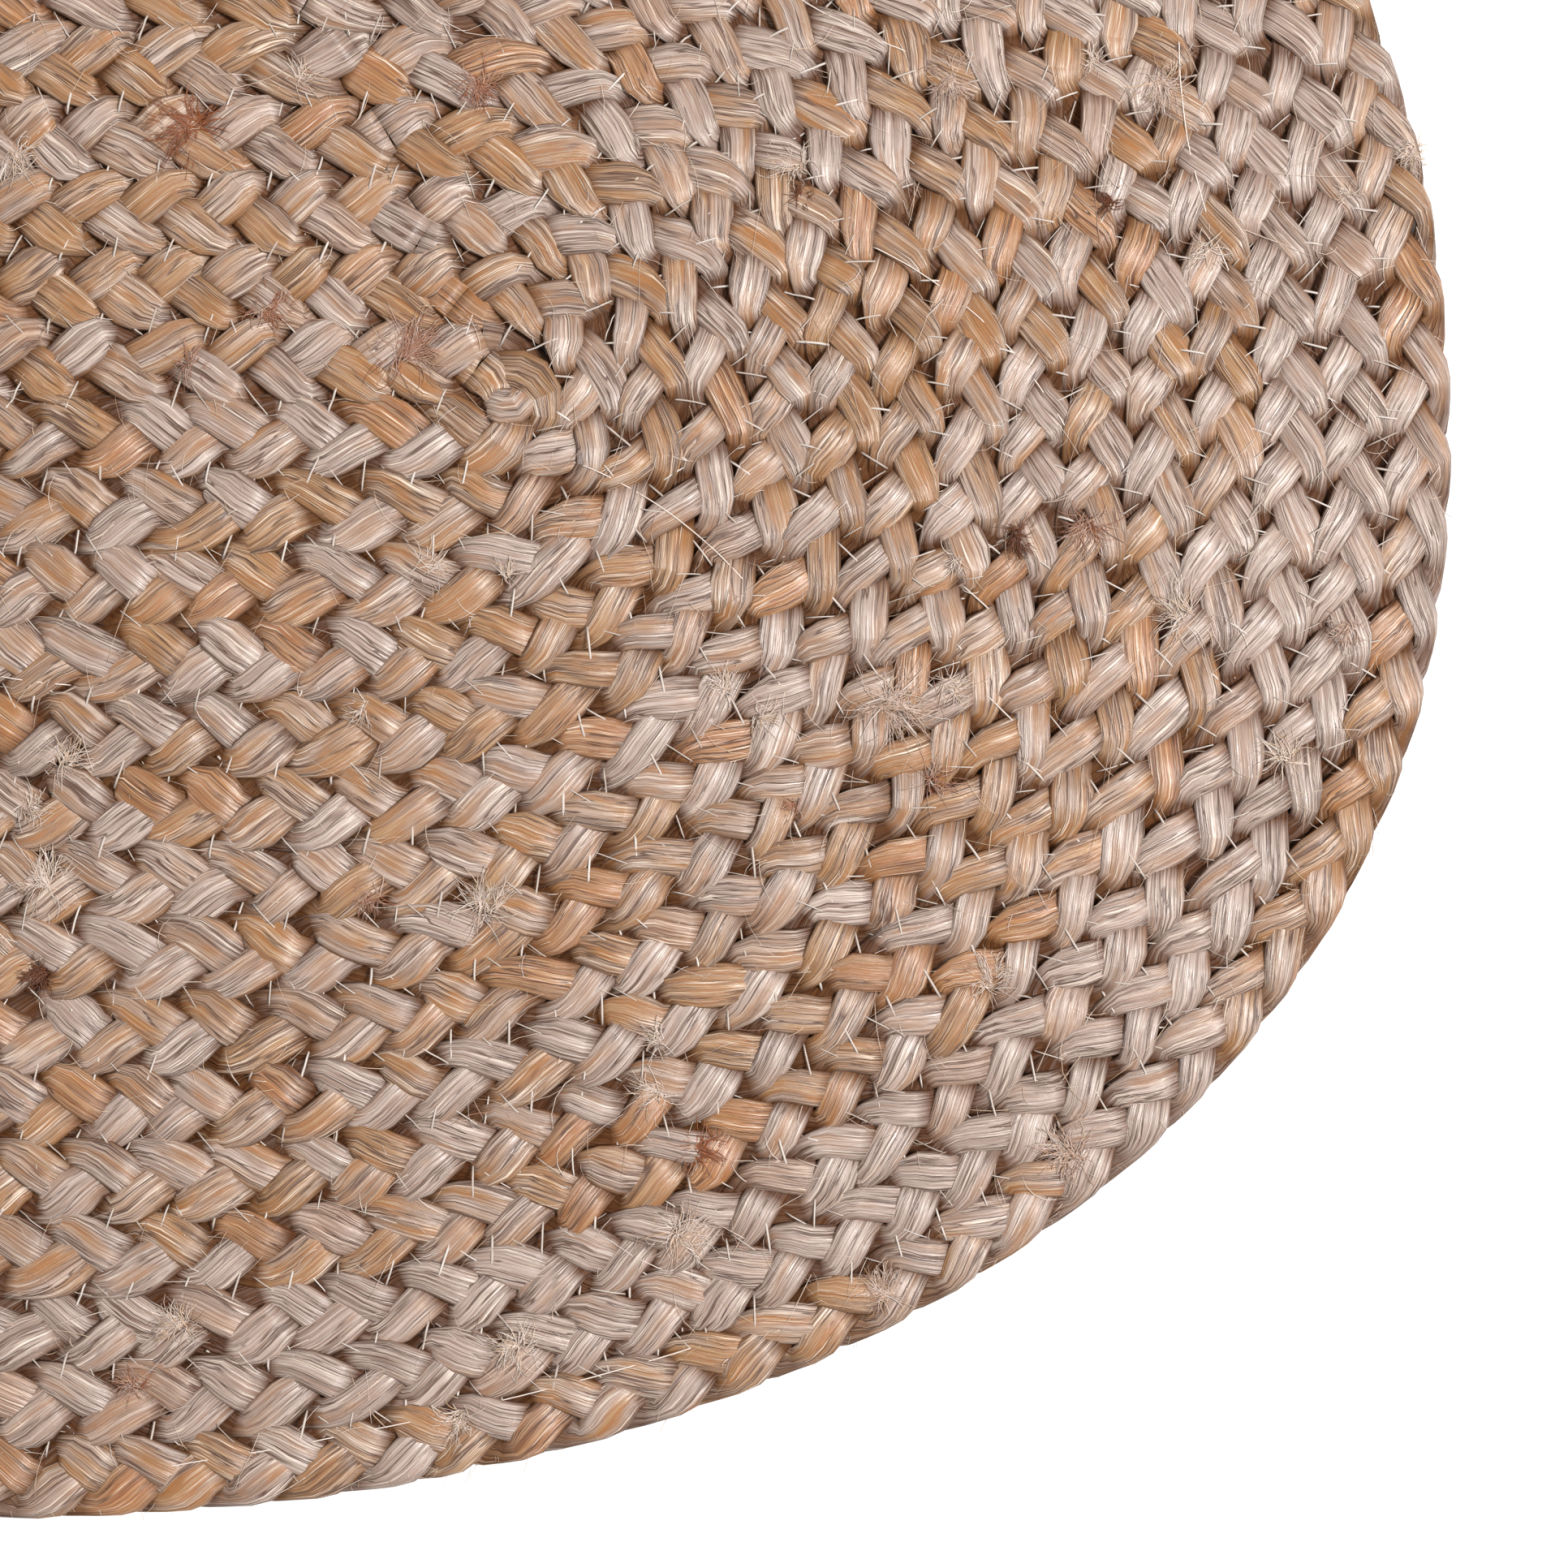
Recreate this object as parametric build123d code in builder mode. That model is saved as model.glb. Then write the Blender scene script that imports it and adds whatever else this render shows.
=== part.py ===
from build123d import *
import os
from math import cos, radians, sin

# An oval rug wound as a flat spiral from one long three-strand jute plait.
# The plait runs along the middle, bends round the +X end and then lies against
# itself, turn after turn.  A zigzag thread sews each turn to the one inside it.
# A place on the rug is a turn number u (0 on the middle row, 15 on the outermost
# row) and an angle round the end of the oval (0 at its tip, 90 on the +Y side).

# Driving dimensions, millimetres and degrees
LENGTH = 900.0  # whole rug, along X
WIDTH = 600.0  # whole rug, along Y
THICKNESS = 9.0  # plait, flattened by sewing
TURNS = 15  # rows of plait on each side of the middle row
END_ROW = 16.5  # width of one row at the two ends of the oval
BODY_FLAT = 60.0  # half the straight stretch of the outermost row
END_POWER = 2.22  # roundness of an end: 2 is an ellipse, more is squarer
SKEW = 0.041  # how much fuller the -Y side of the hand-sewn oval is
SKEW_REACH = 0.3  # what the skew adds to each end
TUCK = 5.0  # the middle row hands over to turn 1 this far before it bends
SEAM_GAP = 0.4  # clear gap between neighbouring rows
EDGE_ROUND = 3.0  # rounding along the long edges of the plait
THREAD_WIDTH = 1.6  # band that the zigzag thread covers in the groove
THREAD_THICK = 0.5
THREAD_SINK = 1.0  # from the face of the rug to the band's inner face
THREAD_INSET = 4.0  # the first band starts this far from the middle row's end
TAIL_ANGLE = 62.0  # the outer end of the plait stops at this angle
TAIL_TIP = 0.45  # its width there, in rows
CURVE_STEPS = 12  # stretches of the curve round one end
END_EDGE = 30.0  # edges shorter than this cross the plait and stay sharp

# Derived
SIDE_ROW = WIDTH / (2 * TURNS + 1)  # width of one row along the sides
HALF_ROW = 0.5 - SEAM_GAP / 2 / SIDE_ROW  # half a row of plait, in turns
HALF_THREAD = THREAD_WIDTH / 2 / SIDE_ROW  # half a band of thread, in turns
REACH = LENGTH / 2 - SKEW_REACH
RIGHT_HEART = REACH - END_ROW * TURNS  # where the middle row bends round
LEFT_HEART = REACH - END_ROW * (TURNS + 0.5)  # where the middle row starts
END_DRIFT = (RIGHT_HEART - BODY_FLAT) / (TURNS + 0.5)  # bend's centre, per turn
LEFTWARDS = (-1, 0)
RIGHTWARDS = (1, 0)


def skewed(x, y):
    """The hand-sewn oval is a little longer where y is negative."""
    return (x * (1 - SKEW * y / (LENGTH / 2)), y)


def oval_point(u, angle, end):
    """Point at turn u and this angle, round the +X end (1) or the -X end (-1)."""
    centre = (RIGHT_HEART if end > 0 else LEFT_HEART) - END_DRIFT * u
    along = abs(cos(radians(angle))) ** (2 / END_POWER)
    across = abs(sin(radians(angle))) ** (2 / END_POWER)
    y = SIDE_ROW * u * (across if angle > 0 else -across)
    return skewed(end * (centre + (END_ROW + END_DRIFT) * u * along), y)


def eased(share):
    """Share of a step, smooth where it starts and where it ends."""
    return share * share * (3 - 2 * share)


def right_bend(u, last_angle=-90.0, growth=0.0):
    """Points round the +X end while u steps out by one row, plus any growth."""
    steps = round(CURVE_STEPS * (90 - last_angle) / 180) + 1
    points = []
    for i in range(steps + 1):
        angle = 90 + (last_angle - 90) * i / steps
        outwards = eased((90 - angle) / 180) + growth * eased(i / steps)
        points.append(oval_point(u + outwards, angle, 1))
    return points


def left_bend(u):
    """Points round the -X end at turn u, from the -Y side to the +Y side."""
    angles = [-90 + 180 * i / CURVE_STEPS for i in range(CURVE_STEPS + 1)]
    return [oval_point(u, angle, -1) for angle in angles]


def handover(u):
    """Point beside the middle row's end, at turn u on the +Y or the -Y side."""
    return skewed(RIGHT_HEART - TUCK, SIDE_ROW * u)


def draw_row_edge(start, u):
    """Edge at turn u: -Y side from a start point, -X bend, +Y side."""
    bend = left_bend(u)
    Line(start, bend[0])
    Spline(*bend, tangents=[LEFTWARDS, RIGHTWARDS], tangent_scalars=[1, 1])
    Line(bend[-1], oval_point(u, 90, 1))


def draw_turn_edge(u):
    """Edge of a whole turn: round the +X end from turn u, then on at u + 1."""
    bend = right_bend(u)
    Spline(*bend, tangents=[RIGHTWARDS, LEFTWARDS], tangent_scalars=[1, 1])
    draw_row_edge(bend[-1], u + 1)


def draw_band(u, half):
    """Outline of a turn that starts at turn u and is two halves wide."""
    draw_turn_edge(u - half)
    draw_turn_edge(u + half)
    Line(oval_point(u - half, 90, 1), oval_point(u + half, 90, 1))
    Line(oval_point(u + 1 - half, 90, 1), oval_point(u + 1 + half, 90, 1))


def draw_first_turn():
    """Outline of turn 1, which takes over from the end of the middle row."""
    inner, outer = 1 - HALF_ROW, 1 + HALF_ROW
    draw_turn_edge(HALF_ROW)
    Line(handover(HALF_ROW), oval_point(HALF_ROW, 90, 1))
    Line(handover(HALF_ROW), handover(-inner))
    draw_row_edge(handover(-inner), inner)
    Line(oval_point(inner, 90, 1), oval_point(outer, 90, 1))


def draw_first_seam():
    """Outline of the band of thread between the middle row and turn 1."""
    inner, outer = 0.5 - HALF_THREAD, 0.5 + HALF_THREAD
    low_x = RIGHT_HEART - TUCK - THREAD_INSET
    starts = [skewed(low_x, -SIDE_ROW * u) for u in (inner, outer)]
    draw_row_edge(starts[0], inner)
    draw_row_edge(starts[1], outer)
    Line(*starts)
    Line(oval_point(inner, 90, 1), oval_point(outer, 90, 1))


def draw_middle_row():
    """Outline of the middle row, with the round -X end where the plait starts."""
    bend = left_bend(HALF_ROW)
    Spline(*bend, tangents=[LEFTWARDS, RIGHTWARDS], tangent_scalars=[1, 1])
    Line(bend[-1], handover(HALF_ROW))
    Line(handover(HALF_ROW), handover(-HALF_ROW))
    Line(handover(-HALF_ROW), bend[0])


def draw_tail(inner, width, tip_width):
    """Outline of a tail that tapers along the +X bend, against turn 15."""
    inside = right_bend(inner, TAIL_ANGLE)
    outside = right_bend(inner + width, TAIL_ANGLE, tip_width - width)
    Spline(*inside)
    Spline(*outside)
    Line(inside[0], outside[0])
    Line(inside[-1], outside[-1])


def long_edges(part):
    """The edges of the top and bottom faces that run along the plait."""
    flat = part.faces().filter_by(Axis.Z)
    return [edge for edge in flat.edges() if edge.length > END_EDGE]


def make_plait(name, draw, *sizes):
    """A length of plait: its outline at full thickness, with round long edges."""
    with BuildPart() as plait:
        with BuildSketch(Plane.XY):
            with BuildLine():
                draw(*sizes)
            make_face()
        extrude(amount=THICKNESS)
        fillet(long_edges(plait), radius=EDGE_ROUND)
    save(name, plait)


def make_seam(name, draw, *sizes):
    """The thread of one seam: a band in the top groove and one in the bottom."""
    with BuildPart() as seam:
        for low in (THREAD_SINK - THREAD_THICK, THICKNESS - THREAD_SINK):
            with BuildSketch(Plane.XY.offset(low)):
                with BuildLine():
                    draw(*sizes)
                make_face()
            extrude(amount=THREAD_THICK)
    save(name, seam)


def save(name, piece):
    """Labels a finished piece and writes its file."""
    piece.part.label = name
    export_step(piece.part, f"parts/{name}.step")


os.makedirs("parts", exist_ok=True)
make_plait("plait_middle_row", draw_middle_row)
make_plait("plait_turn_01", draw_first_turn)
for turn in range(2, TURNS + 1):
    make_plait(f"plait_turn_{turn:02d}", draw_band, turn - 1, HALF_ROW)
outermost = TURNS - 0.5
make_plait("plait_tail", draw_tail, outermost + 0.5 - HALF_ROW, 2 * HALF_ROW, TAIL_TIP)

make_seam("seam_thread_01", draw_first_seam)
for turn in range(2, TURNS + 1):
    make_seam(f"seam_thread_{turn:02d}", draw_band, turn - 1.5, HALF_THREAD)
make_seam(
    "seam_thread_tail",
    draw_tail,
    outermost - HALF_THREAD,
    2 * HALF_THREAD,
    2 * HALF_THREAD,
)
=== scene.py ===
"""An oval rug of three-strand jute plait, wound as a flat spiral and sewn turn to turn.

The plait's middle line is one long path over the rug.  Each of its three strands swings
from side to side along that path and rises and dives between the other two.  Stitches,
frayed knots and loose fibres are laid on the height of the finished strands.
"""

import bpy
import numpy as np
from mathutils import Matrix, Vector


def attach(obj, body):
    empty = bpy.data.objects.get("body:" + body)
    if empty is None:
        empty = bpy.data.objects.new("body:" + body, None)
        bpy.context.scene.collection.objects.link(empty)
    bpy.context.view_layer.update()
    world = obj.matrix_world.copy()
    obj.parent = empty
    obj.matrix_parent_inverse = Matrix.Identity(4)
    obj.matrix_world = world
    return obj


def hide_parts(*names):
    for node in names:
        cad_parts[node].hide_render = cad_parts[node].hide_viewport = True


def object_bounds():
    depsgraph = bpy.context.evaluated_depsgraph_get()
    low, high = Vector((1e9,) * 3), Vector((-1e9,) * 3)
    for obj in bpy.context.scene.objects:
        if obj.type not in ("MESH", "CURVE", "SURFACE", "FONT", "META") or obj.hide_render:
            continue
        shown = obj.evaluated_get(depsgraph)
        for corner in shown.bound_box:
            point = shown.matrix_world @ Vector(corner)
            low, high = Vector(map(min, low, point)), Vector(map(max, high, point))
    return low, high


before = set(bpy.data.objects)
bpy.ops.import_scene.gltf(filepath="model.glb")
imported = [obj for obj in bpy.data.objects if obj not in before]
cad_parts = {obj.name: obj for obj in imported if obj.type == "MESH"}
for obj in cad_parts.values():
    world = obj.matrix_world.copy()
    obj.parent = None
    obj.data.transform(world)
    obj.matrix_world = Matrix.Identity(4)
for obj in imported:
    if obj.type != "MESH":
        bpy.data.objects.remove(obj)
cad_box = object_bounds()

MM = 0.001
TAU = 2 * np.pi
TURNS = 15

# The rug's plan, read from the frame where it is a size of the whole
LOW, HIGH = np.array(cad_box[0]), np.array(cad_box[1])
THICK = HIGH[2] - LOW[2]
SIDE_ROW = 600 * MM / (2 * TURNS + 1)  # width of one row along the sides
END_ROW = 16.5 * MM  # and round the two ends
REACH = 449.7 * MM  # from the middle of the rug to the tip of an end
BODY_FLAT = 60 * MM  # half the straight stretch of the outermost row
END_POWER = 2.22  # roundness of an end: 2 is an ellipse, more is squarer
SKEW = 0.041 / (450 * MM)  # how much fuller the -Y side is
RIGHT_HEART = REACH - END_ROW * TURNS  # where the middle row bends round
LEFT_HEART = REACH - END_ROW * (TURNS + 0.5)  # where the middle row starts
FIRST_BEND = 12.5 * MM  # how far the first bend bulges past its centre
END_DRIFT = (RIGHT_HEART - BODY_FLAT) / (TURNS + 0.5)  # bend's centre, per turn
TAIL_ANGLE = 62.0  # the outer end of the plait stops at this angle
TAIL_TIP = 0.45  # its width there, in rows

# How a strand runs in the plait
PLAIT_WAVE = 58 * MM  # along the plait, for one strand to swing out and back
ZIGZAG = 0.1  # share of the third harmonic, which straightens each crossing
SEAM_KEEP = 0.04  # of the row's width, from a strand's middle to the seam
EDGE_KEEP = 0.09  # the same, to the rug's edge
SEAM = 1.2  # where strands fold at a seam, in half rows
RIM = 1.13  # and at the rug's edge
FOLD_POWER = 8  # how sharply they fold there
LIFT = 1.9 * MM  # rise and dive of a strand about mid-thickness
LINGER = 0.3  # a strand stays on top a little longer than it stays underneath
DIVE = 1.8  # how sharply it changes level: 0 would be a plain sine
LAP = 0.1  # how far a strand leans to lap over the one before it, radians

# Its section
STRAND_WIDE = 0.64  # of the row's width, where a strand is widest
STRAND_NARROW = 0.92  # of that, where it tucks under its neighbours
UNDER_SPREAD = 0.18  # how much wider it spreads underneath
EDGE_PINCH = 0.3  # how much narrower it is where it turns round at the rug's edge
STRAND_HALF_THICK = 1.8 * MM
FLAT_WIDE, FLAT_TALL = 0.8, 0.75  # powers of the superellipse: 1 would be an ellipse
RIDGES = ((0.8, 0.10), (1.5, 0.11), (2.4, 0.08))  # waves across a strand, and height
RING_STEP = 3.4 * MM
RING_POINTS = 18

FLOOR_GAP = 0.15 * MM  # under the lowest points, which are pressed flat on the floor

# How uneven it is: a leaf is the stretch of strand that shows between two tucks
PITCH_SWAY = 0.75  # radians of the swing, all three strands together
STRAND_SWAY = 0.18  # and each strand by itself
EDGE_SWAY = 0.45 * MM
HEIGHT_SWAY = 0.22 * MM
FAT_SWAY = 0.05
LEAF_FAT = 0.34  # from the slimmest leaf to the fattest, of the usual width
LEAF_SHIFT = 1.1 * MM
LEAF_RISE = 0.9 * MM
LEAF_ROLL = 0.2  # radians


# ---------------------------------------------------------------- the path of the plait

def eased(share):
    """Share of a step, smooth where it starts and where it ends: 3t^2 - 2t^3."""
    return share * share * (3 - 2 * share)


def oval(u, angle, end):
    """Points at turn u and angle (degrees) round the +X end (1) or the -X end (-1).

    Each end is a superellipse about a centre that drifts inwards with u; its half axes
    grow by one row per turn."""
    turn = np.radians(angle)
    centre = (RIGHT_HEART if end > 0 else LEFT_HEART) - END_DRIFT * u
    along = np.abs(np.cos(turn)) ** (2 / END_POWER)
    across = np.sign(np.sin(turn)) * np.abs(np.sin(turn)) ** (2 / END_POWER)
    x = end * (centre + (END_ROW + END_DRIFT) * u * along)
    return np.stack([x, SIDE_ROW * u * across], axis=-1)


def row_width(make, u, angle):
    """Width of a row on a bend: how far apart the curves u and u + 1 lie, square to them."""
    step = 0.02
    apart = (make(u + step, angle) - make(u - step, angle)) / (2 * step)
    run = np.gradient(make(u, angle), axis=0)
    run /= np.linalg.norm(run, axis=1, keepdims=True) + 1e-12
    width = np.abs(apart[:, 0] * run[:, 1] - apart[:, 1] * run[:, 0])
    return np.clip(width, 0.8 * END_ROW, 1.02 * SIDE_ROW)


def straight(x0, x1, y):
    """A straight stretch of the path along a side."""
    x = np.linspace(x0, x1, 200)
    return np.stack([x, np.full(200, y)], axis=-1), np.full(200, SIDE_ROW)


def first_bend():
    """The plait folds back on itself round the +X end of the middle row, half an ellipse."""
    turn = np.linspace(TAU / 4, -TAU / 4, 120)
    x = RIGHT_HEART - 4 * MM + FIRST_BEND * np.cos(turn)
    y = SIDE_ROW / 2 * (np.sin(turn) - 1)
    width = SIDE_ROW + (END_ROW - SIDE_ROW) * np.cos(turn)
    return np.stack([x, y], axis=-1), width


def plait_path():
    """The middle line of the whole plait as points a millimetre apart.

    Returns its length along, point, row width and the length at which each node starts."""
    points, widths, starts = [], [], [0]

    def add(stretch):
        points.append(stretch[0])
        widths.append(stretch[1])

    angles = np.linspace(90, -90, 500)
    add(straight(-LEFT_HEART - 7 * MM, RIGHT_HEART - 5 * MM, 0.0))
    starts.append(sum(len(p) for p in points))
    for turn in range(1, TURNS + 1):
        if turn == 1:
            add(first_bend())
        else:
            grown = turn - 1 + eased((90 - angles) / 180)
            bend = lambda u, a: oval(u, a, 1)
            add((oval(grown, angles, 1), row_width(bend, grown, angles)))
        y = SIDE_ROW * turn
        right = RIGHT_HEART - END_DRIFT * turn
        left = END_DRIFT * turn - LEFT_HEART
        add(straight(right, left, -y))
        back = lambda u, a: oval(u, a, -1)
        level = np.full(angles.shape, float(turn))
        add((oval(level, -angles, -1), row_width(back, level, -angles)))
        add(straight(left, right, y))
        starts.append(sum(len(p) for p in points))
    tail = np.linspace(90, TAIL_ANGLE, 200)
    narrowed = 1 + (TAIL_TIP - 1) * eased((90 - tail) / (90 - TAIL_ANGLE))
    grown = TURNS - 0.5 + eased((90 - tail) / 180) + narrowed / 2
    add((oval(grown, tail, 1), SIDE_ROW * narrowed))
    starts.append(sum(len(p) for p in points))

    point, width = np.concatenate(points), np.concatenate(widths)
    point[:, 0] *= 1 - SKEW * point[:, 1]
    step = np.linalg.norm(np.diff(point, axis=0), axis=1)
    length = np.concatenate([[0], np.cumsum(step)])
    even = np.arange(0, length[-1], MM)
    tidy = [np.interp(even, length, value) for value in (point[:, 0], point[:, 1], width)]
    soften = np.hanning(19)
    soften /= soften.sum()
    tidy = [np.convolve(np.pad(v, 9, mode="reflect", reflect_type="odd"), soften, "valid")
            for v in tidy]
    marks = length[np.minimum(starts, len(length) - 1)]
    return even, np.stack(tidy[:2], axis=-1), tidy[2], marks


PATH_S, PATH_XY, PATH_WIDTH, NODE_STARTS = plait_path()
PATH_RUN = np.gradient(PATH_XY, axis=0)
PATH_RUN /= np.linalg.norm(PATH_RUN, axis=1, keepdims=True)
PATH_OUT = np.stack([-PATH_RUN[:, 1], PATH_RUN[:, 0]], axis=-1)


def along_path(values, s):
    """Values kept on the path, read between its points at lengths s."""
    if values.ndim == 1:
        return np.interp(s, PATH_S, values)
    return np.stack([np.interp(s, PATH_S, column) for column in values.T], axis=-1)


# ---------------------------------------------------------------- uneven handwork

def wander(seed, pitch, count=6):
    """A smooth wandering function of length: a sum of sines about one pitch long."""
    dice = np.random.default_rng(seed)
    rates = TAU / pitch * dice.uniform(0.5, 1.6, count)
    phases = dice.uniform(0, TAU, count)
    return lambda s: np.sin(np.multiply.outer(s, rates) + phases).sum(-1) / np.sqrt(count)


PITCH_DRIFT = wander(1, 0.33)
EDGE_DRIFT = wander(2, 0.09)
HEIGHT_DRIFT = wander(3, 0.12)
STRAND_DRIFT = [wander(10 + i, 0.05) for i in range(3)]
STRAND_FAT = [wander(20 + i, 0.07) for i in range(3)]
STRAND_TONE = [wander(30 + i, 0.22) for i in range(3)]
STRAND_RUST = [wander(40 + i, 0.16) for i in range(3)]
RIDGE_PHASE = [[wander(50 + 4 * i + j, 0.11) for j in range(3)] for i in range(3)]
LEAF_DICE = np.random.default_rng(7).random((3, 4096, 6))


def leaf_value(theta, strand, which):
    """A random number for each leaf, the stretch of strand that shows between two tucks.

    It changes a little before the strand crosses the middle of the plait, out of sight."""
    leaf = np.floor((theta + 0.28) / np.pi).astype(int) % LEAF_DICE.shape[1]
    return LEAF_DICE[strand, leaf, which]


# ---------------------------------------------------------------- strands

def strand_level(theta):
    """How high a strand lies, from -1 to 1: a flattened sine at twice its rate."""
    return np.tanh(DIVE * (np.sin(2 * theta) + LINGER)) / np.tanh(DIVE * (1 + LINGER))


def strand_line(s, strand):
    """Where a strand's middle runs, and how wide, thick and rolled it is.

    Across the plait it is a sine of the length drawn towards a zigzag by its third
    harmonic.  It lies on top on its way from the middle to an edge, comes back underneath
    and spreads out there.  The crown is 1 halfway across and 0 where it changes level."""
    row = along_path(PATH_WIDTH, s)
    theta = TAU * (s / PLAIT_WAVE + strand / 3) + PITCH_SWAY * PITCH_DRIFT(s)
    theta += STRAND_SWAY * STRAND_DRIFT[strand](s)
    swing = (np.sin(theta) - ZIGZAG * np.sin(3 * theta)) / (1 + ZIGZAG)
    lift = strand_level(theta)
    crown = np.abs(np.sin(2 * theta)) ** 0.75
    leaf_fat, leaf_shift, leaf_rise, leaf_roll = (
        leaf_value(theta, strand, which) - middle
        for which, middle in enumerate((0.45, 0.5, 0.5, 0.5)))
    outermost = (s > NODE_STARTS[TURNS]) & (swing > 0)

    keep = np.where(outermost, EDGE_KEEP, SEAM_KEEP)
    reach = row * (0.5 - keep) + EDGE_SWAY * EDGE_DRIFT(s)
    across = reach * swing + LEAF_SHIFT * crown * leaf_shift
    height = THICK / 2 + LIFT * lift + HEIGHT_SWAY * HEIGHT_DRIFT(s)
    height += LEAF_RISE * lift * leaf_rise
    xy = along_path(PATH_XY, s) + along_path(PATH_OUT, s) * across[:, None]
    line = np.column_stack([xy, height])

    fat = 1 + FAT_SWAY * STRAND_FAT[strand](s) + LEAF_FAT * crown * leaf_fat
    half_wide = row * STRAND_WIDE / 2 * fat * (STRAND_NARROW + (1 - STRAND_NARROW) * crown)
    half_wide *= 1 + UNDER_SPREAD * np.clip(-lift, 0, 1)
    half_wide *= 1 - EDGE_PINCH * outermost * np.abs(np.sin(theta)) ** 10
    thin_row = np.minimum(1, row / END_ROW)
    half_thick = STRAND_HALF_THICK * (0.94 + 0.1 * crown) * thin_row / np.sqrt(fat)
    roll = -LAP * np.tanh(3 * swing) * lift + LEAF_ROLL * leaf_roll * crown
    return line, theta, half_wide, half_thick, roll


def fold_at_seams(rings, s):
    """Draws the points that pass a seam back to its line, so that strands fold flat there.

    A distance d from the plait's middle becomes d / (1 + |d / fold|^n)^(1 / n)."""
    middle, outward = along_path(PATH_XY, s)[:, None], along_path(PATH_OUT, s)[:, None]
    aside = ((rings[..., :2] - middle) * outward).sum(axis=-1)
    at_rim = (s[:, None] > NODE_STARTS[TURNS]) & (aside > 0)
    fold = (along_path(PATH_WIDTH, s) / 2)[:, None] * np.where(at_rim, RIM, SEAM)
    folded = aside / (1 + np.abs(aside / fold) ** FOLD_POWER) ** (1 / FOLD_POWER)
    rings[..., :2] += (folded - aside)[..., None] * outward


def strand_rings(s, strand):
    """Rings of points round a strand: a flat superellipse with fibre ridges along it.

    A ridge is a cosine across the strand whose phase wanders slowly along it."""
    line, theta, half_wide, half_thick, roll = strand_line(s, strand)
    run = np.gradient(line, axis=0)
    run /= np.linalg.norm(run, axis=1, keepdims=True)
    level = np.cross([0, 0, 1.0], run)
    level /= np.linalg.norm(level, axis=1, keepdims=True)
    up = np.cross(run, level)
    side = level * np.cos(roll)[:, None] - up * np.sin(roll)[:, None]
    out = np.cross(run, side)

    round_angle = np.arange(RING_POINTS) * TAU / RING_POINTS
    wide, tall = np.cos(round_angle), np.sin(round_angle)
    wide = np.sign(wide) * np.abs(wide) ** FLAT_WIDE
    tall = np.sign(tall) * np.abs(tall) ** FLAT_TALL
    ridge = np.zeros((len(s), RING_POINTS))
    for number, (waves, size) in enumerate(RIDGES):
        phase = 2.6 * RIDGE_PHASE[strand][number](s)[:, None] + 2.1 * number
        ridge += size * np.cos(TAU * waves * wide[None, :] + phase + 3.7 * np.sign(tall))
    sideways = half_wide[:, None] * wide[None, :]
    upwards = half_thick[:, None] * tall[None, :] * (1 + ridge * np.abs(tall)[None, :])
    rings = line[:, None, :] + side[:, None, :] * sideways[..., None]
    rings += out[:, None, :] * upwards[..., None]
    rings[..., 2] = np.maximum(rings[..., 2], LOW[2] + FLOOR_GAP)
    fold_at_seams(rings, s)
    return rings, theta, round_angle


def tube_faces(rings, around, first=0):
    """Quads round a tube of rings, and a fan of triangles to a middle point at each end.

    Returned as the corner lists of loops: quads as (n, 4) and triangles as (n, 3)."""
    grid = first + np.arange(rings * around).reshape(rings, around)
    right = np.roll(grid, -1, axis=1)
    quads = np.stack([grid[:-1], right[:-1], right[1:], grid[1:]], axis=-1).reshape(-1, 4)
    cap0, cap1 = first + rings * around, first + rings * around + 1
    near = np.stack([np.full(around, cap0), right[0], grid[0]], axis=-1)
    far = np.stack([np.full(around, cap1), grid[-1], right[-1]], axis=-1)
    return quads, np.concatenate([near, far])


def build_mesh(name, points, quads, triangles, uv=None, layers=None):
    """A mesh object from arrays of points, four-cornered and three-cornered faces."""
    mesh = bpy.data.meshes.new(name)
    corners = np.concatenate([quads.ravel(), triangles.ravel()]).astype(np.int32)
    sizes = np.concatenate([np.full(len(quads), 4), np.full(len(triangles), 3)])
    mesh.vertices.add(len(points))
    mesh.vertices.foreach_set("co", points.astype(np.float32).ravel())
    mesh.loops.add(len(corners))
    mesh.loops.foreach_set("vertex_index", corners)
    mesh.polygons.add(len(sizes))
    begin = np.concatenate([[0], np.cumsum(sizes)[:-1]]).astype(np.int32)
    mesh.polygons.foreach_set("loop_start", begin)
    mesh.polygons.foreach_set("use_smooth", np.ones(len(sizes), dtype=bool))
    mesh.update(calc_edges=True)
    if uv is not None:
        layer = mesh.uv_layers.new(name="fibre")
        layer.uv.foreach_set("vector", uv[corners].astype(np.float32).ravel())
    for title, values in (layers or {}).items():
        attribute = mesh.attributes.new(title, "FLOAT", "POINT")
        attribute.data.foreach_set("value", values.astype(np.float32))
    mesh.validate()
    piece = bpy.data.objects.new(name, mesh)
    bpy.context.collection.objects.link(piece)
    return piece


def finish_piece(piece, material, slot, *nodes):
    """Gives a piece its material, hangs it under the root and hides the CAD nodes that it stands
    for; slot is not used.
    """
    piece.data.materials.append(material)
    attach(piece, "root")
    if nodes:
        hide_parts(*nodes)


def grey_band(s):
    """More silvery jute was worked into the second and third turns from the outside."""
    turn = np.interp(s, NODE_STARTS, np.arange(len(NODE_STARTS))) - 0.5
    return np.exp(-((turn - 13.3) / 1.05) ** 4)


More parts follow.
